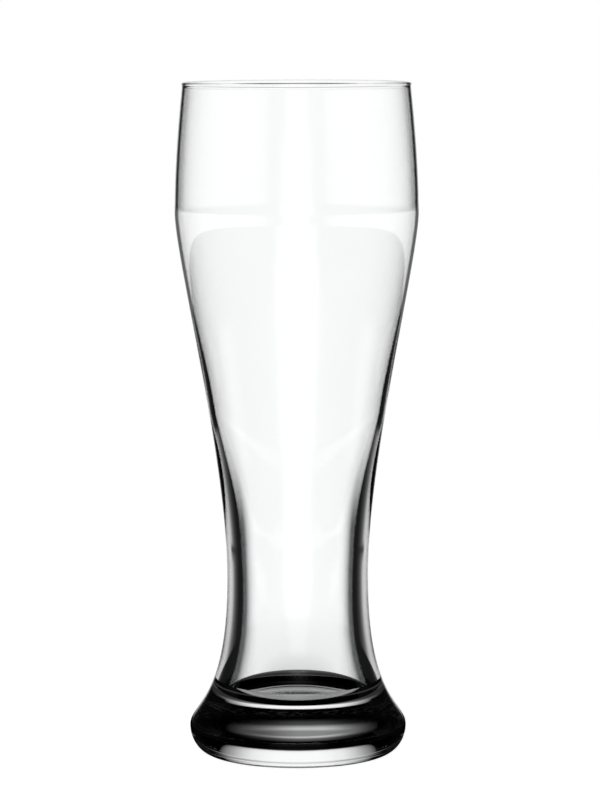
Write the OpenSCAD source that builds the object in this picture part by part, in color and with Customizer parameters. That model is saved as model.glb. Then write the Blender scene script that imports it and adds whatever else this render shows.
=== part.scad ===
// Weizen glass: a tall beer glass with a waist and a heavy base, for half a litre.
// Every shape is turned about the Z axis. The glass stands on z = 0, on the ring under its foot.
// The bowl and the foot meet face to face on a flat ring, where the corner of the drink's bottom ends.

/* [Outside] */
// Overall height
height = 225; // [216:1:240]
// Outer diameter over the bead of the lip
lip_d = 76.4; // [74:0.1:80]
// Outer diameter at the shoulder, the widest place of the glass
shoulder_d = 81.3; // [80:0.1:86]
// Height of the shoulder
shoulder_z = 182; // [172:1:190]
// Outer diameter at the waist, the narrowest place of the glass
waist_d = 47.4; // [44:0.1:54]
// Height of the waist
waist_z = 59.5; // [56:0.5:66]
// Outer diameter at the belly of the foot
belly_d = 72.7; // [68:0.1:78]
// Width of the round edge, from the ring on the table out to the belly
edge_w = 7.4; // [5:0.1:9]
// Height of the round edge, from the table up to the belly
edge_h = 9.3; // [7:0.1:11]

/* [Curves] */
// How far the side leans out in its first stretch below the lip
lip_lean = 0.9; // [0:0.1:2]
// Length of that first stretch
lip_lead = 8.5; // [4:0.5:16]
// Length over which the shoulder runs upright, up and down
shoulder_lead = 15.5; // [10:0.5:24]
// Length over which the waist runs upright, above it
waist_lead_up = 40.5; // [30:0.5:50]
// Length over which the waist runs upright, below it
waist_lead_down = 42.2; // [34:0.1:45]
// Length over which the belly runs upright, above it
belly_lead = 6.2; // [5:0.1:10]

/* [Wall] */
// Diameter of the round bead along the lip
lip_bead = 1.4; // [1.3:0.1:2.4]
// Wall of the upper bowl
bowl_wall = 1; // [0.8:0.1:1.3]
// Height where that wall begins to gain
gain_z = 152; // [140:1:170]
// Wall where the thick stretch begins
neck_wall = 2; // [1.6:0.1:3.5]
// Height where the thick stretch begins
neck_z = 116; // [98:1:124]
// Wall where it has reached its full thickness
stem_wall = 5; // [3.5:0.1:6.5]
// Height where it has reached its full thickness
stem_z = 70; // [64:1:84]
// Wall at the ring where the bowl meets the foot
heel_wall = 5.9; // [5:0.1:8]

/* [Foot] */
// Height of the bottom of the drink at its rim, measured from the table
floor_z = 17.5; // [14:0.1:22]
// How much higher the middle of that bottom lies than its rim
floor_rise = 0.5; // [0.2:0.1:1]
// Radius of the round corner between the floor and the side of the drink
heel_round = 5.8; // [3:0.1:7]
// Width of the ring on which the glass stands
contact_w = 2; // [1:0.1:4]
// Height of the hollow under the middle of the foot
hollow_h = 0.6; // [0.3:0.1:3]

/* [Hidden] */
$fn = 180;

lip_steps = 12;
side_steps = 30;
foot_steps = 20;
round_steps = 12;
cap_steps = 8;
bore_steps = 70;

// Point at t on a curve from a to d, led by b and c
function bezier(a, b, c, d, t) =
    pow(1 - t, 3) * a + 3 * pow(1 - t, 2) * t * b + 3 * (1 - t) * t * t * c + pow(t, 3) * d;

// Points of such a curve, without its first one
function curve(a, b, c, d, steps) =
    [for (i = [1 : steps]) bezier(a, b, c, d, i / steps)];

// Points of an arc about a centre, with both of its ends
function arc(centre, r, from, to, steps) =
    [for (i = [0 : steps])
        let (turn = from + (to - from) * i / steps)
        centre + r * [cos(turn), sin(turn)]];

// Points of a shallow round cap from its middle out, without its rim
function cap(reach, rise, level, steps) =
    let (r = (pow(reach, 2) + pow(rise, 2)) / (2 * rise),
         half = asin(reach / r))
    [for (i = [0 : steps - 1])
        let (turn = half * i / steps)
        [r * sin(turn), level + rise - r * (1 - cos(turn))]];

// The same points from the last to the first
function reversed(points) =
    [for (i = [1 : len(points)]) points[len(points) - i]];

// Rises smoothly from 0 at a to 1 at b
function ease(a, b, z) =
    let (t = min(1, max(0, (z - a) / (b - a))))
    t * t * (3 - 2 * t);

// The bead sits on the middle of the wall
bead_r = lip_bead / 2;
bead_centre = [lip_d / 2 - bead_r, height - bead_r];
bead_turn = acos(bowl_wall / lip_bead);
side_top = bead_centre + bead_r * [cos(bead_turn), -sin(bead_turn)];

shoulder = [shoulder_d / 2, shoulder_z];
waist = [waist_d / 2, waist_z];
belly = [belly_d / 2, edge_h];

// Outer side from the lip down to the belly
side = concat(
    [side_top],
    curve(side_top, side_top + [lip_lean, -lip_lead],
          shoulder + [0, shoulder_lead], shoulder, lip_steps),
    curve(shoulder, shoulder - [0, shoulder_lead],
          waist + [0, waist_lead_up], waist, side_steps),
    curve(waist, waist - [0, waist_lead_down],
          belly + [0, belly_lead], belly, foot_steps)
);

// Outer radius at a height
side_table = [for (p = side) [p[1], p[0]]];
function side_r(z) = lookup(z, side_table);

// Height of the ring where the bowl meets the foot
seam_z = floor_z + heel_round;

// Thickness of the wall at a height
function wall(z) =
    bowl_wall
    + (neck_wall - bowl_wall) * ease(gain_z, neck_z, z)
    + (stem_wall - neck_wall) * ease(neck_z, stem_z, z)
    + (heel_wall - stem_wall) * ease(stem_z, seam_z, z);

// Inner radius at a height
function bore_r(z) = side_r(z) - wall(z);

// Inner side from the ring up to the bead
bore_top = side_top[1];
bore = [for (i = [0 : bore_steps])
    let (z = seam_z + (bore_top - seam_z) * i / bore_steps)
    [bore_r(z), z]];

// Bottom of the drink, from its middle out, and the round corner up to the inner side
floor_r = bore_r(seam_z) - heel_round;
floor_cap = cap(floor_r, floor_rise, floor_z, cap_steps);
heel = arc([floor_r, seam_z], heel_round, -90, 0, round_steps);

// Underside, from the belly in to the middle of the hollow
contact_r = belly_d / 2 - edge_w;
hollow_r = contact_r - contact_w;
edge = [for (i = [0 : round_steps])
    let (turn = 90 * i / round_steps)
    [contact_r + edge_w * cos(turn), edge_h * (1 - sin(turn))]];
hollow_cap = reversed(cap(hollow_r, hollow_h, 0, cap_steps));

bowl_outline = concat(
    [for (p = side) if (p[1] > seam_z) p],
    [[side_r(seam_z), seam_z]],
    bore,
    arc(bead_centre, bead_r, 180 + bead_turn, -bead_turn, 2 * round_steps)
);

foot_outline = concat(
    [[side_r(seam_z), seam_z]],
    [for (p = side) if (p[1] < seam_z && p[1] > edge_h) p],
    edge,
    [[hollow_r, 0]],
    hollow_cap,
    floor_cap,
    heel
);

// Blown body with its lip, open at both ends
module bowl() {
    color("aliceblue", 0.5)
    rotate_extrude()
    polygon(bowl_outline);
}

// Solid base, with the bottom of the drink in its top
module foot() {
    color("lightsteelblue", 0.7)
    rotate_extrude()
    polygon(foot_outline);
}

bowl();
foot();
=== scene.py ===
import math

import bmesh
import bpy
from mathutils import Matrix, Vector


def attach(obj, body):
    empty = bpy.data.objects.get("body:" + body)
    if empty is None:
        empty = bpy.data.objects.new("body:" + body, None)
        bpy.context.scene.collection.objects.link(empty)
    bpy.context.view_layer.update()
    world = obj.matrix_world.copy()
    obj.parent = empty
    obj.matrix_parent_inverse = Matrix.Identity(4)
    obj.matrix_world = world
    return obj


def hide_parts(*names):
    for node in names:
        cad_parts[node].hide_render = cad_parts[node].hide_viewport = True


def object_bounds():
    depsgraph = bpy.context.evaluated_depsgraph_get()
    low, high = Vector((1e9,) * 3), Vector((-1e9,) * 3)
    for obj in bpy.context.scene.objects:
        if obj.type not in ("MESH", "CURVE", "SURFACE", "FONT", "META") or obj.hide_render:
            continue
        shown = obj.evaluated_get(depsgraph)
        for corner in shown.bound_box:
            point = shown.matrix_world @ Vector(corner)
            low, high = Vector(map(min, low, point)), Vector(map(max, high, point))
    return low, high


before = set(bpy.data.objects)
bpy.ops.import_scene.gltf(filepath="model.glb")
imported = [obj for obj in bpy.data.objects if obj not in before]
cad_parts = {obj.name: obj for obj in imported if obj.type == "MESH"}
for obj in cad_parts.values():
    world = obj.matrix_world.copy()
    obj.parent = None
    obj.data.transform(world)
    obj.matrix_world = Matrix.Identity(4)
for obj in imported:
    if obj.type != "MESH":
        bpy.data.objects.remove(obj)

bl_info = {
    "name": "Weizen Glass",
    "version": (1, 0, 0),
    "blender": (4, 5, 0),
    "location": "View3D > Sidebar > Weizen Glass",
    "description": "Builds a half-litre weizen glass and the bright studio it stands in",
    "category": "Add Mesh",
}

# The solid model's box, from before anything is added
CAD_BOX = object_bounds()


def length(name, about, size, lowest=0.0, highest=0.4):
    """A size in metres that a user may change."""
    return bpy.props.FloatProperty(
        name=name, description=about, default=size, min=lowest, max=highest, precision=5,
        subtype="DISTANCE", unit="LENGTH",
    )


def number(name, about, value, lowest=0.0, highest=1.0):
    """A plain number that a user may change."""
    return bpy.props.FloatProperty(
        name=name, description=about, default=value, min=lowest, max=highest, precision=3,
    )


def degrees(name, about, value, lowest=-90.0, highest=90.0):
    """An angle that a user may change, given here in degrees."""
    return bpy.props.FloatProperty(
        name=name, description=about, default=math.radians(value), min=math.radians(lowest),
        max=math.radians(highest), subtype="ANGLE", unit="ROTATION",
    )


def paint(name, about, value):
    """A colour that a user may change."""
    return bpy.props.FloatVectorProperty(
        name=name, description=about, default=value, size=3, min=0.0, max=1.0, subtype="COLOR",
    )


class GlassShape(bpy.types.PropertyGroup):
    """Sizes of the glass, the same ones as the solid model's."""

    height: length("Height", "Overall height", CAD_BOX[1][2])
    lip_d: length("Lip", "Outer diameter over the bead of the lip", 0.0764)
    shoulder_d: length("Shoulder", "Outer diameter at the widest place", 0.0813)
    shoulder_z: length("Shoulder height", "Height of the widest place", 0.182)
    waist_d: length("Waist", "Outer diameter at the narrowest place", 0.0474)
    waist_z: length("Waist height", "Height of the narrowest place", 0.0595)
    belly_d: length("Belly", "Outer diameter of the foot", 0.0727)
    edge_w: length("Edge width", "From the ring on the table out to the belly", 0.0074)
    edge_h: length("Edge height", "From the table up to the belly", 0.0093)
    lip_lean: length("Lip lean", "How far the side leans out below the lip", 0.0009)
    lip_lead: length("Lip lead", "Length of the side's first stretch", 0.0085)
    shoulder_lead: length("Shoulder lead", "Length of the upright run at the shoulder", 0.0155)
    waist_lead_up: length("Waist lead up", "Length of the upright run above the waist", 0.0405)
    waist_lead_down: length("Waist lead down", "Length of the upright run below the waist", 0.0422)
    belly_lead: length("Belly lead", "Length of the upright run above the belly", 0.0062)
    lip_bead: length("Lip bead", "Diameter of the round bead along the lip", 0.0014)
    bowl_wall: length("Bowl wall", "Wall of the upper bowl", 0.001)
    gain_z: length("Gain height", "Height where the wall begins to gain", 0.152)
    neck_wall: length("Neck wall", "Wall where the thick stretch begins", 0.002)
    neck_z: length("Neck height", "Height where the thick stretch begins", 0.116)
    stem_wall: length("Stem wall", "Wall at its full thickness", 0.005)
    stem_z: length("Stem height", "Height where the wall has its full thickness", 0.070)
    heel_wall: length("Heel wall", "Wall at the ring where bowl and foot meet", 0.0059)
    floor_z: length("Floor", "Height of the rim of the drink's floor", 0.0175)
    floor_rise: length("Floor rise", "How much higher the middle of that floor lies", 0.0005)
    heel_round: length("Heel round", "Radius between the floor and the side of the drink", 0.0058)
    plunger_r: length("Plunger ring", "Radius of the fine ring that the plunger left in the heel", 0.0204)
    plunger_h: length("Plunger ring height", "How far that ring stands out", 0.00008)
    plunger_w: length("Plunger ring width", "Its width", 0.0009)
    contact_w: length("Contact ring", "Width of the ring on which the glass stands", 0.002)
    hollow_h: length("Hollow", "Height of the hollow under the foot", 0.0006)
    turns: bpy.props.IntProperty(
        name="Steps around", description="Steps of the full turn", default=192, min=48, max=256)


class GlassFinish(bpy.types.PropertyGroup):
    """Looks of the clear glass."""

    bowl_tint: paint("Bowl tint", "Colour that light takes in the bowl", (0.991, 0.995, 0.994))
    foot_tint: paint("Foot tint", "Colour that light takes in the foot", (0.976, 0.984, 0.986))
    bowl_drift: number("Bowl drift", "Share of the bowl's tint that is left where it is deepest", 0.997)
    foot_drift: number("Foot drift", "Share of the foot's tint that is left where it is deepest", 0.99)
    bowl_stretch: number("Bowl stretch", "How long the bowl's waves run for their width", 3.0, 1.0, 10.0)
    foot_stretch: number("Foot stretch", "How long the foot's waves run for their width", 1.4, 1.0, 10.0)
    bend: number("Refraction", "Index of refraction of soda-lime glass", 1.52, 1.3, 1.8)
    wave_h: length("Wave height", "Depth of the faint waves left by the mould", 0.000012)
    wave_w: length("Wave width", "Distance between those waves", 0.011)
    wear: number("Ring wear", "How worn the ring under the foot is", 0.35)
    # The bore shade is painted shade: a dark tint mixed into the bore's base colour, not a colour of the
    # glass
    shade_tint: paint("Bore shade", "Colour of the bore seen along its wall", (0.02, 0.022, 0.023))
    shade_top: length("Shade top", "Height where that shade begins", 0.112)
    shade_low: length("Shade low", "Height where it is full", 0.075)


class StudioSettings(bpy.types.PropertyGroup):
    """Camera, floor and light."""

    distance: length("Camera distance", "From the axis of the glass", 1.2, 0.5, 4.0)
    eye_z: length("Camera height", "Height of the lens above the table", 0.2465, 0.0, 2.0)
    pitch: degrees("Pitch", "How far the camera looks down", 6.067)
    yaw: degrees("Yaw", "How far the camera looks to the right", 0.0445)
    roll: degrees("Roll", "How far the camera leans", 0.135)
    focal: number("Focal length", "In millimetres on a 36 mm sensor", 162.4, 20.0, 400.0)
    floor_r: length("Floor radius", "Radius of the pale floor", 0.9, 0.1, 5.0)
    panel: number("Panel light", "Light of the white panels around the glass", 1.06, 0.0, 3.0)
    behind: number("Light behind", "Light that comes straight through the glass", 1.14, 0.0, 3.0)
    lost_light: number("Inner light", "Share of light after two turns inside the glass", 0.02)
    floor_shown: number("Floor light", "How bright the floor shows by itself", 0.93)
    floor_paint: paint("Floor colour", "Colour of the floor", (0.93, 0.935, 0.94))


# Steps of each stretch of the outlines
LIP_STEPS = 24
SIDE_STEPS = 96
WAIST_STEPS = 72
BORE_STEPS = 210
BEAD_STEPS = 24
HOLLOW_STEPS = 24
EDGE_STEPS = 32
HEEL_STEPS = 96
FLOOR_STEPS = 16
# A short step kept next to the ring where bowl and foot meet, so that both bend light alike there
SEAM_STEP = 0.00006
# Corners closer than this are one
MERGE_GAP = 1e-6
# An edge shorter than this is taken out
EDGE_GAP = 1e-7
# How far off its level a corner may lie and still be in the ring
LEVEL_GAP = 1e-7
# An edge that turns by more than this shows as an edge
SHARP_TURN = math.radians(35)
# Slots of the materials on each piece
SKIN_SLOT, FUSED_SLOT, BORE_SLOT = 0, 1, 2


# Outlines of the glass


def lead_curve(start, lead_out, lead_in, end, steps):
    """Points of a smooth stretch between two places, without the first one."""
    points = []
    for i in range(1, steps + 1):
        t = i / steps
        points.append(tuple(
            (1 - t) ** 3 * start[k] + 3 * (1 - t) ** 2 * t * lead_out[k]
            + 3 * (1 - t) * t * t * lead_in[k] + t ** 3 * end[k]
            for k in (0, 1)))
    return points


def round_off(centre, radius, first, last, steps):
    """Points of an arc from one angle to another, with both ends."""
    turn = [first + (last - first) * i / steps for i in range(steps + 1)]
    return [(centre[0] + radius * math.cos(a), centre[1] + radius * math.sin(a)) for a in turn]


def ease(low, high, z):
    """Rises smoothly from 0 at low to 1 at high."""
    t = min(1.0, max(0.0, (z - low) / (high - low)))
    return t * t * (3 - 2 * t)


def side_points(g):
    """Outer side from the lip down to the belly, and the bead of the lip."""
    bead_r = g.lip_bead / 2
    bead = (g.lip_d / 2 - bead_r, g.height - bead_r)
    turn = math.acos(g.bowl_wall / g.lip_bead)
    top = (bead[0] + bead_r * math.cos(turn), bead[1] - bead_r * math.sin(turn))
    shoulder = (g.shoulder_d / 2, g.shoulder_z)
    waist = (g.waist_d / 2, g.waist_z)
    belly = (g.belly_d / 2, g.edge_h)
    points = [top]
    points += lead_curve(
        top, (top[0] + g.lip_lean, top[1] - g.lip_lead),
        (shoulder[0], shoulder[1] + g.shoulder_lead), shoulder, LIP_STEPS)
    points += lead_curve(
        shoulder, (shoulder[0], shoulder[1] - g.shoulder_lead),
        (waist[0], waist[1] + g.waist_lead_up), waist, SIDE_STEPS)
    points += lead_curve(
        waist, (waist[0], waist[1] - g.waist_lead_down),
        (belly[0], belly[1] + g.belly_lead), belly, WAIST_STEPS)
    return points, bead, bead_r, turn


def side_at(points, z):
    """Outer radius at a height."""
    for (r0, z0), (r1, z1) in zip(points, points[1:]):
        if z1 <= z <= z0:
            return r0 + (r1 - r0) * (z0 - z) / (z0 - z1)
    raise ValueError("no such height on the side of the glass")


def wall_at(g, z):
    """Thickness of the wall at a height."""
    seam = g.floor_z + g.heel_round
    return (
        g.bowl_wall
        + (g.neck_wall - g.bowl_wall) * ease(-g.gain_z, -g.neck_z, -z)
        + (g.stem_wall - g.neck_wall) * ease(-g.neck_z, -g.stem_z, -z)
        + (g.heel_wall - g.stem_wall) * ease(-g.stem_z, -seam, -z))


def bowl_outline(g):
    """Closed outline of the bowl: side, ring, bore and bead."""
    side, bead, bead_r, turn = side_points(g)
    seam = g.floor_z + g.heel_round
    points = [p for p in side if p[1] > seam + 3 * SEAM_STEP]
    points += [(side_at(side, z), z) for z in (seam + SEAM_STEP, seam)]
    top = side[0][1]
    heights = [seam, seam + SEAM_STEP]
    heights += [seam + (top - seam) * i / BORE_STEPS for i in range(1, BORE_STEPS + 1)]
    points += [(side_at(side, z) - wall_at(g, z), z) for z in heights]
    lip = round_off(bead, bead_r, math.pi + turn, -turn, BEAD_STEPS)
    return points + lip[1:-1]


def cap_points(reach, rise, level, steps):
    """Points of a shallow round cap from its middle out to its rim."""
    radius = (reach ** 2 + rise ** 2) / (2 * rise)
    half = math.asin(reach / radius)
    return [
        (radius * math.sin(half * i / steps), level + rise - radius * (1 - math.cos(half * i / steps)))
        for i in range(steps + 1)]


def heel_points(g, floor_r, seam, steps):
    """The round corner from the ring down to the floor, with the plunger's fine ring in it."""
    points = []
    mark = math.asin((g.plunger_r - floor_r) / g.heel_round)
    half = g.plunger_w / 2 / g.heel_round
    for i in range(steps + 1):
        turn = math.pi / 2 * (1 - i / steps)
        near = max(0.0, 1 - abs(turn - mark) / half)
        radius = g.heel_round - g.plunger_h * near * near * (3 - 2 * near)
        points.append((floor_r + radius * math.sin(turn), seam - radius * math.cos(turn)))
    return points


def foot_outline(g):
    """Open outline of the foot, from the middle of its hollow out and over to the drink's floor."""
    side = side_points(g)[0]
    seam = g.floor_z + g.heel_round
    ring_r = g.belly_d / 2 - g.edge_w
    hollow = cap_points(ring_r - g.contact_w, g.hollow_h, 0.0, HOLLOW_STEPS)
    edge_turns = [math.pi / 2 * i / EDGE_STEPS for i in range(EDGE_STEPS + 1)]
    edge = [(ring_r + g.edge_w * math.sin(a), g.edge_h * (1 - math.cos(a))) for a in edge_turns]
    rising = [p for p in reversed(side) if g.edge_h < p[1] < seam - 3 * SEAM_STEP]
    top = [(side_at(side, z), z) for z in (seam - SEAM_STEP, seam)]
    floor_r = side_at(side, seam) - wall_at(g, seam) - g.heel_round
    heel = heel_points(g, floor_r, seam, HEEL_STEPS)
    floor = cap_points(floor_r, g.floor_rise, g.floor_z, FLOOR_STEPS)
    return hollow + edge + rising + top + heel + floor[-2::-1]


def slot_of(face, seam):
    """The material of a face: in the ring, towards the axis, or on the outer skin."""
    if all(abs(v.co.z - seam) < LEVEL_GAP for v in face.verts):
        return FUSED_SLOT
    middle = face.calc_center_median()
    if face.normal.x * middle.x + face.normal.y * middle.y < 0:
        return BORE_SLOT
    return SKIN_SLOT


def turn_outline(name, outline, closed, steps, seam):
    """Spins an outline about the axis of the glass into a closed piece with smooth sides."""
    bm = bmesh.new()
    corners = [bm.verts.new((r, 0.0, z)) for r, z in outline]
    lines = [bm.edges.new(pair) for pair in zip(corners, corners[1:])]
    if closed:
        lines.append(bm.edges.new((corners[-1], corners[0])))
    bmesh.ops.spin(
        bm, geom=corners + lines, cent=(0, 0, 0), axis=(0, 0, 1), dvec=(0, 0, 0),
        angle=2 * math.pi, steps=steps, use_merge=True, use_normal_flip=False, use_duplicate=False)
    bmesh.ops.remove_doubles(bm, verts=bm.verts, dist=MERGE_GAP)
    bmesh.ops.dissolve_degenerate(bm, edges=bm.edges, dist=EDGE_GAP)
    bmesh.ops.recalc_face_normals(bm, faces=bm.faces)
    for face in bm.faces:
        face.material_index = slot_of(face, seam)
        face.smooth = face.material_index != FUSED_SLOT
    for edge in bm.edges:
        edge.smooth = len(edge.link_faces) == 2 and edge.calc_face_angle() < SHARP_TURN
    mesh = bpy.data.meshes.new(name)
    bm.to_mesh(mesh)
    bm.free()
    piece = bpy.data.objects.new(name, mesh)
    bpy.context.scene.collection.objects.link(piece)
    return piece


# Nodes and materials of the glass


def put(tree, kind, x, y, **values):
    """Adds a node at a place, with its plain settings."""
    node = tree.nodes.new(kind)
    node.location = (x, y)
    for name, value in values.items():
        setattr(node, name, value)
    return node


def sum_up(tree, what, x, y, first, second=None, clamp=False):
    """A Math node on sockets or numbers, and its result."""
    node = put(tree, "ShaderNodeMath", x, y, operation=what, use_clamp=clamp)
    for slot, value in zip(node.inputs, (first, second)):
        if isinstance(value, (int, float)):
            slot.default_value = value
        elif value is not None:
            tree.links.new(value, slot)
    return node.outputs[0]


def fade(tree, x, y, value, start, end, low=0.0, high=1.0):
    """A value that goes smoothly from low at start to high at end."""
    node = put(tree, "ShaderNodeMapRange", x, y, interpolation_type="SMOOTHSTEP")
    tree.links.new(value, node.inputs["Value"])
    for name, amount in (("From Min", start), ("From Max", end), ("To Min", low), ("To Max", high)):
        node.inputs[name].default_value = amount
    return node.outputs["Result"]


# The fine waves next to the broad ones: how many times closer together, and their share of the height
FINE_WAVES_CLOSER = 2.6
FINE_WAVES_SHARE = 0.22


def mould_waves_group():
    """Node group: the faint waves that a mould and the glass's own skin leave, as a height."""
    group = bpy.data.node_groups.new("Mould Waves", "ShaderNodeTree")
    group.interface.new_socket("Vector", in_out="INPUT", socket_type="NodeSocketVector")
    width = group.interface.new_socket("Width", in_out="INPUT", socket_type="NodeSocketFloat")
    width.default_value = 0.011
    stretch = group.interface.new_socket("Stretch", in_out="INPUT", socket_type="NodeSocketFloat")
    stretch.default_value = 3.0
    group.interface.new_socket("Height", in_out="OUTPUT", socket_type="NodeSocketFloat")
    start = put(group, "NodeGroupInput", -900, 0)
    end = put(group, "NodeGroupOutput", 500, 0)
    # Long waves along the glass, short ones around it
    squeeze = put(group, "ShaderNodeCombineXYZ", -700, -160)
    squeeze.inputs["X"].default_value = 1.0
    squeeze.inputs["Y"].default_value = 1.0
    shorter = sum_up(group, "DIVIDE", -880, -220, 1.0, start.outputs["Stretch"])
    group.links.new(shorter, squeeze.inputs["Z"])
    scaled = put(group, "ShaderNodeVectorMath", -520, 0, operation="MULTIPLY")
    group.links.new(start.outputs["Vector"], scaled.inputs[0])
    group.links.new(squeeze.outputs["Vector"], scaled.inputs[1])
    per_metre = sum_up(group, "DIVIDE", -520, -220, 1.0, start.outputs["Width"])
    broad = put(group, "ShaderNodeTexNoise", -300, 80, noise_dimensions="3D")
    broad.inputs["Detail"].default_value = 1.0
    broad.inputs["Roughness"].default_value = 0.35
    group.links.new(scaled.outputs["Vector"], broad.inputs["Vector"])
    group.links.new(per_metre, broad.inputs["Scale"])
    fine = put(group, "ShaderNodeTexNoise", -300, -200, noise_dimensions="3D")
    fine.inputs["Detail"].default_value = 0.0
    group.links.new(scaled.outputs["Vector"], fine.inputs["Vector"])
    tighter = sum_up(group, "MULTIPLY", -420, -300, per_metre, FINE_WAVES_CLOSER)
    group.links.new(tighter, fine.inputs["Scale"])
    small = sum_up(group, "MULTIPLY", -80, -160, fine.outputs["Fac"], FINE_WAVES_SHARE)
    both = sum_up(group, "ADD", 120, 0, broad.outputs["Fac"], small)
    group.links.new(both, end.inputs["Height"])
    return group


# Between these values of the noise a scuff begins
SCUFF_EDGE = (0.42, 0.62)


def ring_wear_group():
    """Node group: fine scuffs where the glass stands on tables, as a mask from 0 to 1."""
    group = bpy.data.node_groups.new("Ring Wear", "ShaderNodeTree")
    group.interface.new_socket("Vector", in_out="INPUT", socket_type="NodeSocketVector")
    reach = group.interface.new_socket("Reach", in_out="INPUT", socket_type="NodeSocketFloat")
    reach.default_value = 0.0006
    group.interface.new_socket("Mask", in_out="OUTPUT", socket_type="NodeSocketFloat")
    start = put(group, "NodeGroupInput", -900, 0)
    end = put(group, "NodeGroupOutput", 500, 0)
    parts = put(group, "ShaderNodeSeparateXYZ", -700, 120)
    group.links.new(start.outputs["Vector"], parts.inputs["Vector"])
    rise = sum_up(group, "DIVIDE", -500, 120, parts.outputs["Z"], start.outputs["Reach"])
    low = sum_up(group, "SUBTRACT", -320, 120, 1.0, rise, clamp=True)
    scuffs = put(group, "ShaderNodeTexNoise", -500, -120, noise_dimensions="3D")
    scuffs.inputs["Scale"].default_value = 900.0
    scuffs.inputs["Detail"].default_value = 3.0
    group.links.new(start.outputs["Vector"], scuffs.inputs["Vector"])
    marks = fade(group, -300, -120, scuffs.outputs["Fac"], *SCUFF_EDGE)
    worn = sum_up(group, "MULTIPLY", 200, 0, low, marks)
    group.links.new(worn, end.inputs["Mask"])
    return group


# Between these values of the noise the tint deepens
DRIFT_EDGE = (0.35, 0.65)


def tint_drift_group():
    """Node group: the slight drift of colour in a gob of glass."""
    group = bpy.data.node_groups.new("Tint Drift", "ShaderNodeTree")
    group.interface.new_socket("Vector", in_out="INPUT", socket_type="NodeSocketVector")
    for name in ("Tint", "Deep Tint"):
        socket = group.interface.new_socket(name, in_out="INPUT", socket_type="NodeSocketColor")
        socket.default_value = (0.98, 0.99, 0.99, 1.0)
    group.interface.new_socket("Color", in_out="OUTPUT", socket_type="NodeSocketColor")
    start = put(group, "NodeGroupInput", -700, 0)
    end = put(group, "NodeGroupOutput", 400, 0)
    cloud = put(group, "ShaderNodeTexNoise", -480, 140, noise_dimensions="3D")
    cloud.inputs["Scale"].default_value = 28.0
    cloud.inputs["Detail"].default_value = 1.0
    group.links.new(start.outputs["Vector"], cloud.inputs["Vector"])
    share = fade(group, -260, 140, cloud.outputs["Fac"], *DRIFT_EDGE)
    mix = put(group, "ShaderNodeMix", 0, 0, data_type="RGBA")
    group.links.new(share, mix.inputs["Factor"])
    group.links.new(start.outputs["Tint"], mix.inputs["A"])
    group.links.new(start.outputs["Deep Tint"], mix.inputs["B"])
    group.links.new(mix.outputs["Result"], end.inputs["Color"])
    return group


def place_group(tree, name, build, x, y):
    """Places a node group, which is built once and used by every glass material."""
    node = put(tree, "ShaderNodeGroup", x, y)
    node.node_tree = bpy.data.node_groups.get(name) or build()
    node.label = name
    return node


def clear_glass(name, finish, tint, deepest, stretch):
    """Clear soda-lime glass with faint mould waves, a drift of tint and a worn ring."""
    material = bpy.data.materials.new(name)
    material.use_nodes = True
    tree = material.node_tree
    glass = tree.nodes["Principled BSDF"]
    glass.location = (420, 0)
    tree.nodes["Material Output"].location = (720, 0)
    glass.inputs["Metallic"].default_value = 0.0
    glass.inputs["Transmission Weight"].default_value = 1.0
    glass.inputs["IOR"].default_value = finish.bend
    where = put(tree, "ShaderNodeTexCoord", -900, 0)
    drift = place_group(tree, "Tint Drift", tint_drift_group, -500, 260)
    drift.inputs["Tint"].default_value = (*tint, 1.0)
    drift.inputs["Deep Tint"].default_value = (*(c * deepest for c in tint), 1.0)
    tree.links.new(where.outputs["Object"], drift.inputs["Vector"])
    tree.links.new(drift.outputs["Color"], glass.inputs["Base Color"])
    worn = place_group(tree, "Ring Wear", ring_wear_group, -500, 0)
    tree.links.new(where.outputs["Object"], worn.inputs["Vector"])
    rough = sum_up(tree, "MULTIPLY", -160, 0, worn.outputs["Mask"], finish.wear)
    tree.links.new(rough, glass.inputs["Roughness"])
    waves = place_group(tree, "Mould Waves", mould_waves_group, -500, -260)
    waves.inputs["Width"].default_value = finish.wave_w
    waves.inputs["Stretch"].default_value = stretch
    tree.links.new(where.outputs["Object"], waves.inputs["Vector"])
    skin = put(tree, "ShaderNodeBump", 60, -260)
    skin.inputs["Strength"].default_value = 1.0
    skin.inputs["Distance"].default_value = finish.wave_h
    tree.links.new(waves.outputs["Height"], skin.inputs["Height"])
    tree.links.new(skin.outputs["Normal"], glass.inputs["Normal"])
    return material


# Between these slants, 0 straight on and 1 along it, the painted shade turns the bore's wall dark
SEEN_ALONG = (0.3, 0.66)


def shade_bore(material, finish):
    """Paints shade into the bore's base colour where it is seen along its wall, down in the thick stem;
    clear glass has no dark bore of its own.
    """
    tree = material.node_tree
    glass = tree.nodes["Principled BSDF"]
    tint = glass.inputs["Base Color"].links[0].from_socket
    slant = put(tree, "ShaderNodeLayerWeight", -500, 560)
    slant.inputs["Blend"].default_value = 0.5
    seen_along = fade(tree, -300, 560, slant.outputs["Facing"], *SEEN_ALONG)
    where = tree.nodes["Texture Coordinate"]
    parts = put(tree, "ShaderNodeSeparateXYZ", -700, 760)
    tree.links.new(where.outputs["Object"], parts.inputs["Vector"])
    deep = fade(tree, -500, 760, parts.outputs["Z"], finish.shade_top, finish.shade_low)
    share = sum_up(tree, "MULTIPLY", -100, 600, seen_along, deep)
    # Painted shade: the bore's tint turns towards the dark shade tint
    mix = put(tree, "ShaderNodeMix", 120, 420, data_type="RGBA")
    tree.links.new(share, mix.inputs["Factor"])
    tree.links.new(tint, mix.inputs["A"])
    mix.inputs["B"].default_value = (*finish.shade_tint, 1.0)
    tree.links.new(mix.outputs["Result"], glass.inputs["Base Color"])
    return material


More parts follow.
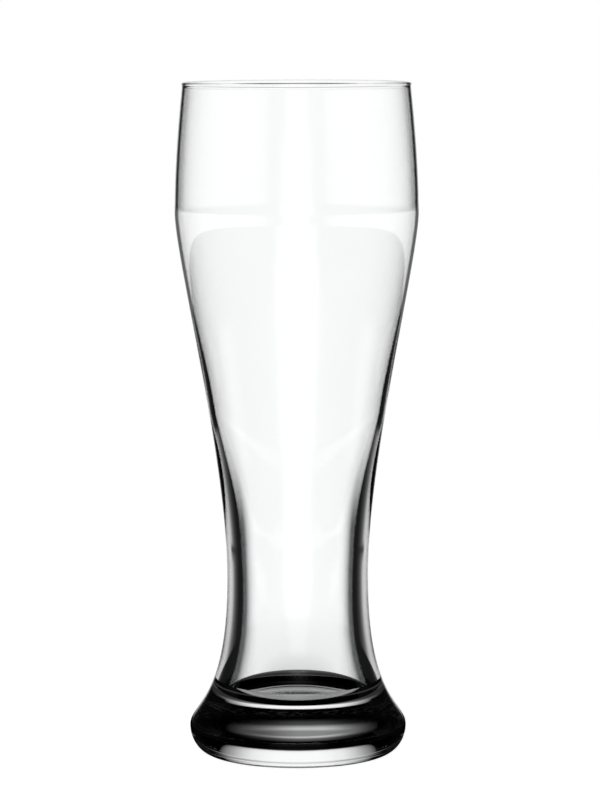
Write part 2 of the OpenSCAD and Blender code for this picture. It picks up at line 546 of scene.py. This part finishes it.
def fused_glass():
    """The ring inside the glass where bowl and foot are one: nothing to see."""
    material = bpy.data.materials.get("fused_glass") or bpy.data.materials.new("fused_glass")
    material.use_nodes = True
    inside = material.node_tree.nodes["Principled BSDF"]
    inside.inputs["Alpha"].default_value = 0.0
    inside.inputs["Roughness"].default_value = 0.0
    inside.inputs["Specular IOR Level"].default_value = 0.0
    return material


# The studio

# How bright the panels behind and beside the glass are, by the angle from the middle of the back one
PANEL_FADE = (
    (0.0, 1.0), (8.0, 0.99), (13.0, 0.94), (18.0, 0.86), (22.5, 0.66), (27.5, 0.4), (32.5, 0.2),
    (35.3, 0.06), (36.4, 0.0), (72.0, 0.0), (82.0, 0.7), (90.0, 1.0),
)
# How bright the panels are by the angle above the table
PANEL_RISE = (
    (-90.0, 1.0), (17.0, 1.0), (19.5, 0.95), (22.0, 0.88), (24.0, 0.7), (25.5, 0.2), (28.0, 0.05),
    (33.0, 0.01), (42.0, 0.0), (90.0, 0.0),
)
# Painted light: how bright the panels' light painted into the floor's glow is, where the glass shows it, by
# the angle around
FLOOR_FADE = (
    (0.0, 1.0), (8.0, 0.99), (13.0, 0.95), (18.0, 0.86), (22.5, 0.7), (26.5, 0.5), (30.0, 0.29),
    (34.0, 0.15), (41.0, 0.05), (50.0, 0.01), (72.0, 0.01), (82.0, 0.7), (90.0, 1.0),
)
# How bright the panels are near the horizon, where the glass mirrors a narrower back one
NARROW_FADE = (
    (0.0, 1.0), (12.0, 0.95), (15.4, 0.8), (18.0, 0.5), (20.0, 0.2), (22.5, 0.045), (30.0, 0.008),
    (60.0, 0.008), (90.0, 0.06),
)
# How bright they are as mirrored by the bowl, past two dark strips that draw its outline
HIGH_FADE = (
    (0.0, 1.0), (8.0, 0.9), (13.0, 0.2), (18.0, 0.15), (27.0, 0.14), (29.0, 0.34), (31.0, 0.5),
    (35.0, 0.65), (41.0, 0.77), (47.0, 0.87), (60.0, 0.95), (90.0, 1.0),
)
# How bright the back panel is in the thick foot that bends it into a lens, by the angle above the table
LENS_RISE = (
    (0.0, 0.25), (12.8, 0.25), (13.4, 0.35), (14.5, 0.55), (17.4, 0.42), (21.9, 0.18), (25.7, 0.08),
    (31.8, 0.04), (36.0, 0.01), (42.0, 0.0), (90.0, 0.0),
)
# The same by the angle from the middle of the back panel
LENS_FADE = (
    (0.0, 1.0), (4.0, 1.0), (8.0, 0.8), (13.0, 0.45), (17.0, 0.27), (21.0, 0.15), (26.0, 0.06), (32.0, 0.0),
    (90.0, 0.0),
)
# Painted light and painted shadow in the floor's glow: how bright the floor is as the glass shows it, by
# the distance from its middle in millimetres
FLOOR_GLOW = (
    (0.0, 0.38), (8.0, 0.3), (16.0, 0.32), (30.0, 0.4), (37.0, 0.37), (43.0, 0.27), (49.0, 0.03),
    (58.0, 0.03), (84.0, 0.19), (110.0, 0.36), (141.0, 0.56), (166.0, 0.77), (183.0, 0.9), (235.0, 0.98),
    (260.0, 1.0), (900.0, 1.0),
)
FLOOR_REACH = 900.0
MM_PER_METRE = 1000.0
# Angles above the table, in degrees, between which one rule gives way to the next
BOWL_LIGHT = (-2.7, -3.1)
LENS_LIGHT = (5.0, 9.0)
# How many degrees narrower the back panel is near the horizon, and how far aside the lens sees it
NARROWER = 3.0
LENS_ASIDE = 4.0
# Distances on the floor, in metres, between which one rule gives way to the next
UNDER_FOOT = (0.035, 0.047)
PAST_FOOT = (0.045, 0.08)
CLOSE_BY = (0.2, 0.13)
FAR_OFF = (0.33, 0.42)
HEEL_SIGHT = (0.38, 0.5)
# How many degrees wider the panel looks from the heel, and the angles where the dark beside it starts
HEEL_WIDER = 4.0
BESIDE_PANEL = (18.0, 25.0)
# How far the floor lies below the ring, so that the two never share a plane
FLOOR_DROP = 0.0001
# The lamp above the glass, in metres and watts
LAMP_SIZE = 0.6
LAMP_POWER = 2.0
LAMP_PLACE = (-0.5, -0.5, 1.2)
LAMP_AIM = (0.0, 0.0, 0.08)
# Width of the camera's sensor in millimetres
SENSOR_WIDTH = 36.0


def ladder(tree, x, y, value, steps, low=0.0, high=90.0):
    """A brightness that follows the steps, given by their angle and their share of light."""
    share = put(tree, "ShaderNodeMapRange", x, y, interpolation_type="LINEAR")
    tree.links.new(value, share.inputs["Value"])
    share.inputs["From Min"].default_value = low
    share.inputs["From Max"].default_value = high
    ramp = put(tree, "ShaderNodeValToRGB", x + 200, y)
    tree.links.new(share.outputs["Result"], ramp.inputs["Fac"])
    band = ramp.color_ramp
    band.interpolation = "LINEAR"
    while len(band.elements) < len(steps):
        band.elements.new(1.0)
    for element, (angle, light) in zip(band.elements, steps):
        element.position = (angle - low) / (high - low)
        element.color = (light, light, light, 1.0)
    return ramp.outputs["Color"]


def blend(tree, x, y, share, first, second):
    """A number between two others, given as sockets or plain values."""
    node = put(tree, "ShaderNodeMix", x, y, data_type="FLOAT")
    for name, value in (("Factor", share), ("A", first), ("B", second)):
        if isinstance(value, (int, float)):
            node.inputs[name].default_value = value
        else:
            tree.links.new(value, node.inputs[name])
    return node.outputs["Result"]


def around(tree, x, y, east, north):
    """Angle in degrees from the nearer end of the Y axis."""
    turn = sum_up(tree, "ARCTAN2", x, y, east, north)
    turn = sum_up(tree, "MULTIPLY", x + 160, y, turn, 180 / math.pi)
    turn = sum_up(tree, "ADD", x + 320, y, turn, 450.0)
    turn = sum_up(tree, "MODULO", x + 480, y, turn, 180.0)
    turn = sum_up(tree, "SUBTRACT", x + 640, y, turn, 90.0)
    return sum_up(tree, "ABSOLUTE", x + 800, y, turn)


def by_path(tree, x, y, studio, panel, skin, inner, straight_light, shown_light):
    """Sorts light by its way: off the skin, mirrored inside, bent, straight through, or to the camera."""
    path = put(tree, "ShaderNodeLightPath", x, y - 300)
    mirrored, entered = path.outputs["Glossy Depth"], path.outputs["Transmission Depth"]
    # The depths are whole numbers, and each limit lies between two of them
    once = sum_up(tree, "GREATER_THAN", x + 200, y + 560, mirrored, 0.5)
    inside = sum_up(tree, "GREATER_THAN", x + 200, y + 400, entered, 0.5)
    # Light that ran to and fro inside the glass comes from all over the room, which is dim
    lost = sum_up(tree, "GREATER_THAN", x + 200, y + 200, mirrored, 1.5)
    faint = blend(tree, x + 380, y + 200, lost, 1.0, studio.lost_light)
    inner = sum_up(tree, "MULTIPLY", x + 380, y + 400, inner, faint)
    turned = blend(tree, x + 560, y + 400, inside, skin, inner)
    bent = blend(tree, x + 740, y + 400, once, panel, turned)
    # Straight through is light that crossed both walls and was never mirrored
    through = sum_up(tree, "GREATER_THAN", x + 200, y - 400, entered, 2.5)
    never = sum_up(tree, "SUBTRACT", x + 200, y - 240, 1.0, once)
    straight = sum_up(tree, "MULTIPLY", x + 380, y - 300, never, through)
    seen = blend(tree, x + 920, y, straight, bent, straight_light)
    return blend(tree, x + 1100, y, path.outputs["Is Camera Ray"], seen, shown_light)


def lens_light(tree, parts, rise):
    """The back panel as the foot's lens sees it, a little to one side."""
    shift = math.tan(math.radians(LENS_ASIDE))
    aside = sum_up(tree, "MULTIPLY", -2280, -1300, parts.outputs["Y"], shift)
    aside = sum_up(tree, "ADD", -2200, -1200, parts.outputs["X"], aside)
    turn = around(tree, -2100, -1200, aside, parts.outputs["Y"])
    across = ladder(tree, -1140, -1300, turn, LENS_FADE)
    upwards = ladder(tree, -1240, -1100, rise, LENS_RISE)
    return sum_up(tree, "MULTIPLY", -900, -1100, upwards, across)


def panel_light(tree, parts, studio):
    """Light of the panels as bent by the glass, as its skin mirrors it and as it is mirrored inside."""
    turn = around(tree, -2100, 0, parts.outputs["X"], parts.outputs["Y"])
    rise = sum_up(tree, "ARCSINE", -1600, -900, parts.outputs["Z"])
    rise = sum_up(tree, "MULTIPLY", -1440, -900, rise, 180 / math.pi)
    broad = ladder(tree, -1140, 0, turn, PANEL_FADE)
    narrower = sum_up(tree, "ADD", -1300, -260, turn, NARROWER)
    narrow = ladder(tree, -1140, -260, narrower, NARROW_FADE)
    high = ladder(tree, -1140, -520, turn, HIGH_FADE)
    upwards = ladder(tree, -1240, -900, rise, PANEL_RISE, -90.0, 90.0)
    upwards = sum_up(tree, "MULTIPLY", -900, -900, upwards, studio.panel)
    bent = sum_up(tree, "MULTIPLY", -480, 0, broad, upwards)
    # Nothing bright stands on the camera's side, but the bowl's skin mirrors what lies below the horizon
    below = fade(tree, -1240, -1500, rise, *BOWL_LIGHT)
    ahead = sum_up(tree, "GREATER_THAN", -900, -300, parts.outputs["Y"], 0.0)
    in_front = sum_up(tree, "MULTIPLY", -660, -300, upwards, ahead)
    skin = sum_up(tree, "MULTIPLY", -480, -300, narrow, in_front)
    skin = blend(tree, -400, -300, below, skin, high)
    aloft = fade(tree, -1240, -1680, rise, *LENS_LIGHT)
    inner = blend(tree, -860, -700, aloft, narrow, lens_light(tree, parts, rise))
    inner = blend(tree, -700, -700, below, inner, high)
    inner = sum_up(tree, "MULTIPLY", -480, -600, inner, studio.panel)
    return bent, skin, inner


def studio_world(studio):
    """White panels on four sides, dark gaps between them, and white straight through the glass."""
    world = bpy.data.worlds.new("bright_studio")
    world.use_nodes = True
    tree = world.node_tree
    light = tree.nodes["Background"]
    light.location = (1100, 0)
    tree.nodes["World Output"].location = (1300, 0)
    light.inputs["Color"].default_value = (1.0, 1.0, 1.0, 1.0)
    where = put(tree, "ShaderNodeTexCoord", -2500, 0)
    parts = put(tree, "ShaderNodeSeparateXYZ", -2320, 0)
    tree.links.new(where.outputs["Generated"], parts.inputs["Vector"])
    bent, skin, inner = panel_light(tree, parts, studio)
    glow = by_path(tree, -320, 0, studio, bent, skin, inner, studio.behind, 1.0)
    tree.links.new(glow, light.inputs["Strength"])
    return world


def floor_light(tree, parts, out, studio):
    """Painted light of the floor by path: a glow that is dim under the foot, a painted shadow darkest close
    around it, bright further out.
    """
    away = sum_up(tree, "MULTIPLY", -1740, -300, out, MM_PER_METRE)
    lit = ladder(tree, -1560, -300, away, FLOOR_GLOW, 0.0, FLOOR_REACH)
    turn = around(tree, -2100, 0, parts.outputs["X"], parts.outputs["Y"])
    broad = ladder(tree, -1140, 0, turn, FLOOR_FADE)
    # The narrow panel's painted light looks a little wider from the heel, whose light lands nearer
    wider = fade(tree, -1500, -780, out, *HEEL_SIGHT, HEEL_WIDER, 0.0)
    from_heel = sum_up(tree, "SUBTRACT", -1300, -780, turn, wider)
    narrow = ladder(tree, -1140, -780, from_heel, NARROW_FADE)
    # Close by, painted shade in the glow gives the sides of the foot the dark beside the back panel
    close = fade(tree, -1740, -1360, out, *CLOSE_BY)
    beside = fade(tree, -1740, -1520, turn, *BESIDE_PANEL)
    dark = sum_up(tree, "MULTIPLY", -1460, -1400, close, beside)
    cut = sum_up(tree, "SUBTRACT", -1300, -1400, 1.0, dark)
    sides = sum_up(tree, "MULTIPLY", -740, -200, broad, cut)
    outside = fade(tree, -1740, -560, out, *PAST_FOOT)
    bent = blend(tree, -560, -200, outside, 1.0, sides)
    distant = fade(tree, -1740, -1040, out, *FAR_OFF)
    inner = blend(tree, -560, -400, distant, bent, narrow)
    under = fade(tree, -1740, -1200, out, *UNDER_FOOT)
    low = sum_up(tree, "MULTIPLY", -560, -1200, lit, under)
    bent = sum_up(tree, "MULTIPLY", -400, 0, bent, lit)
    skin = sum_up(tree, "MULTIPLY", -400, -300, narrow, lit)
    inner = sum_up(tree, "MULTIPLY", -400, -600, inner, low)
    straight = sum_up(tree, "MULTIPLY", -400, -1000, lit, studio.behind)
    return by_path(tree, -200, 0, studio, bent, skin, inner, straight, studio.floor_shown)


def pale_floor(studio):
    """Pale matt paint that glows by path, with painted light and painted shadow around the glass where the
    glass shows it, and takes the glass's shadow for the camera.
    """
    material = bpy.data.materials.new("pale_floor")
    material.use_nodes = True
    tree = material.node_tree
    surface = tree.nodes["Principled BSDF"]
    surface.location = (1100, 0)
    tree.nodes["Material Output"].location = (1380, 0)
    surface.inputs["Roughness"].default_value = 0.9
    surface.inputs["Specular IOR Level"].default_value = 0.0
    surface.inputs["Emission Color"].default_value = (1.0, 1.0, 1.0, 1.0)
    where = put(tree, "ShaderNodeTexCoord", -2500, 0)
    parts = put(tree, "ShaderNodeSeparateXYZ", -2320, 0)
    tree.links.new(where.outputs["Object"], parts.inputs["Vector"])
    flat = put(tree, "ShaderNodeCombineXYZ", -2100, -300)
    tree.links.new(parts.outputs["X"], flat.inputs["X"])
    tree.links.new(parts.outputs["Y"], flat.inputs["Y"])
    out = put(tree, "ShaderNodeVectorMath", -1920, -300, operation="LENGTH")
    tree.links.new(flat.outputs["Vector"], out.inputs[0])
    glow = floor_light(tree, parts, out.outputs["Value"], studio)
    tree.links.new(glow, surface.inputs["Emission Strength"])
    # In the glass only the painted glow shows
    direct = put(tree, "ShaderNodeLightPath", 200, 500)
    shown = put(tree, "ShaderNodeMix", 420, 300, data_type="RGBA")
    tree.links.new(direct.outputs["Is Camera Ray"], shown.inputs["Factor"])
    shown.inputs["A"].default_value = (0.0, 0.0, 0.0, 1.0)
    shown.inputs["B"].default_value = (*studio.floor_paint, 1.0)
    tree.links.new(shown.outputs["Result"], surface.inputs["Base Color"])
    return material


def studio_floor(studio):
    """A round pale floor that shows white and keeps a faint shadow of the glass."""
    bm = bmesh.new()
    bmesh.ops.create_circle(bm, cap_ends=True, cap_tris=False, segments=128, radius=studio.floor_r)
    bmesh.ops.translate(bm, verts=bm.verts, vec=(0, 0, -FLOOR_DROP))
    mesh = bpy.data.meshes.new("studio_floor")
    bm.to_mesh(mesh)
    bm.free()
    floor = bpy.data.objects.new("studio_floor", mesh)
    bpy.context.scene.collection.objects.link(floor)
    mesh.materials.append(pale_floor(studio))
    return floor


def soft_lamp(name, size, power, place, aim):
    """A large square lamp that points at a place."""
    lamp = bpy.data.lights.new(name, "AREA")
    lamp.shape = "SQUARE"
    lamp.size = size
    lamp.energy = power
    lamp.color = (1.0, 1.0, 1.0)
    holder = bpy.data.objects.new(name, lamp)
    bpy.context.scene.collection.objects.link(holder)
    direction = Vector(aim) - Vector(place)
    turned = direction.to_track_quat("-Z", "Y").to_matrix().to_4x4()
    holder.matrix_world = Matrix.Translation(place) @ turned
    # The glass shows the panels, not the lamp
    holder.visible_glossy = False
    holder.visible_transmission = False
    return holder


def studio_camera(studio):
    """The camera, where the photograph was taken from."""
    lens = bpy.data.cameras.new("studio_camera")
    lens.sensor_width = SENSOR_WIDTH
    lens.lens = studio.focal
    lens.clip_start = 0.01
    camera = bpy.data.objects.new("studio_camera", lens)
    bpy.context.scene.collection.objects.link(camera)
    camera.matrix_world = (
        Matrix.Translation((0.0, -studio.distance, studio.eye_z))
        @ Matrix.Rotation(-studio.yaw, 4, "Z")
        @ Matrix.Rotation(math.pi / 2 - studio.pitch, 4, "X")
        @ Matrix.Rotation(-studio.roll, 4, "Z"))
    bpy.context.scene.camera = camera
    return camera


# Buttons that build the pieces and the studio


class WEIZEN_OT_add_bowl(bpy.types.Operator):
    """Add the blown bowl with its lip, open down to the ring above the foot"""

    bl_idname = "weizen.add_bowl"
    bl_label = "Add Bowl"

    def execute(self, context):
        shape, finish = context.scene.weizen_shape, context.scene.weizen_finish
        seam = shape.floor_z + shape.heel_round
        bowl = turn_outline("bowl_glass", bowl_outline(shape), True, shape.turns, seam)
        look = (finish, finish.bowl_tint, finish.bowl_drift, finish.bowl_stretch)
        bowl.data.materials.append(clear_glass("bowl_clear_glass", *look))
        bowl.data.materials.append(fused_glass())
        # The bore's material carries the painted shade in its base colour
        bowl.data.materials.append(shade_bore(clear_glass("bowl_bore_glass", *look), finish))
        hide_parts("bowl")
        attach(bowl, "root")
        return {"FINISHED"}


class WEIZEN_OT_add_foot(bpy.types.Operator):
    """Add the heavy foot with the drink's floor on top and the hollow underneath"""

    bl_idname = "weizen.add_foot"
    bl_label = "Add Foot"

    def execute(self, context):
        shape, finish = context.scene.weizen_shape, context.scene.weizen_finish
        seam = shape.floor_z + shape.heel_round
        foot = turn_outline("foot_glass", foot_outline(shape), False, shape.turns, seam)
        look = (finish, finish.foot_tint, finish.foot_drift, finish.foot_stretch)
        foot.data.materials.append(clear_glass("foot_clear_glass", *look))
        foot.data.materials.append(fused_glass())
        foot.data.materials.append(foot.data.materials[SKIN_SLOT])
        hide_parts("foot")
        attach(foot, "root")
        return {"FINISHED"}


class WEIZEN_OT_add_studio(bpy.types.Operator):
    """Add the floor, the white panels, a soft lamp and the camera"""

    bl_idname = "weizen.add_studio"
    bl_label = "Add Studio"

    def execute(self, context):
        studio, scene = context.scene.weizen_studio, context.scene
        scene.world = studio_world(studio)
        studio_floor(studio)
        soft_lamp("top_softbox", LAMP_SIZE, LAMP_POWER, LAMP_PLACE, LAMP_AIM)
        studio_camera(studio)
        scene.view_settings.view_transform = "Standard"
        # Light runs many times inside thick glass before it gets out
        scene.cycles.max_bounces = 40
        scene.cycles.glossy_bounces = 32
        scene.cycles.transmission_bounces = 40
        scene.cycles.transparent_max_bounces = 32
        return {"FINISHED"}


class WEIZEN_PT_sidebar(bpy.types.Panel):
    """Sizes, looks and buttons of the glass"""

    bl_idname = "WEIZEN_PT_sidebar"
    bl_label = "Weizen Glass"
    bl_space_type = "VIEW_3D"
    bl_region_type = "UI"
    bl_category = "Weizen Glass"

    def draw(self, context):
        layout = self.layout
        for title, group in (
            ("Shape", context.scene.weizen_shape),
            ("Finish", context.scene.weizen_finish),
            ("Studio", context.scene.weizen_studio),
        ):
            box = layout.box()
            box.label(text=title)
            for name in group.__annotations__:
                box.prop(group, name)
        for operator in (WEIZEN_OT_add_bowl, WEIZEN_OT_add_foot, WEIZEN_OT_add_studio):
            layout.operator(operator.bl_idname)


CLASSES = (
    GlassShape, GlassFinish, StudioSettings,
    WEIZEN_OT_add_bowl, WEIZEN_OT_add_foot, WEIZEN_OT_add_studio, WEIZEN_PT_sidebar,
)


def register():
    """Makes the classes known and gives the scene its settings."""
    for kind in CLASSES:
        bpy.utils.register_class(kind)
    bpy.types.Scene.weizen_shape = bpy.props.PointerProperty(type=GlassShape)
    bpy.types.Scene.weizen_finish = bpy.props.PointerProperty(type=GlassFinish)
    bpy.types.Scene.weizen_studio = bpy.props.PointerProperty(type=StudioSettings)


def unregister():
    """Takes the settings and the classes away again."""
    del bpy.types.Scene.weizen_studio
    del bpy.types.Scene.weizen_finish
    del bpy.types.Scene.weizen_shape
    for kind in reversed(CLASSES):
        bpy.utils.unregister_class(kind)


def main():
    """Builds the glass and its studio."""
    register()
    bpy.ops.weizen.add_bowl()
    bpy.ops.weizen.add_foot()
    bpy.ops.weizen.add_studio()


if __name__ == "__main__":
    main()
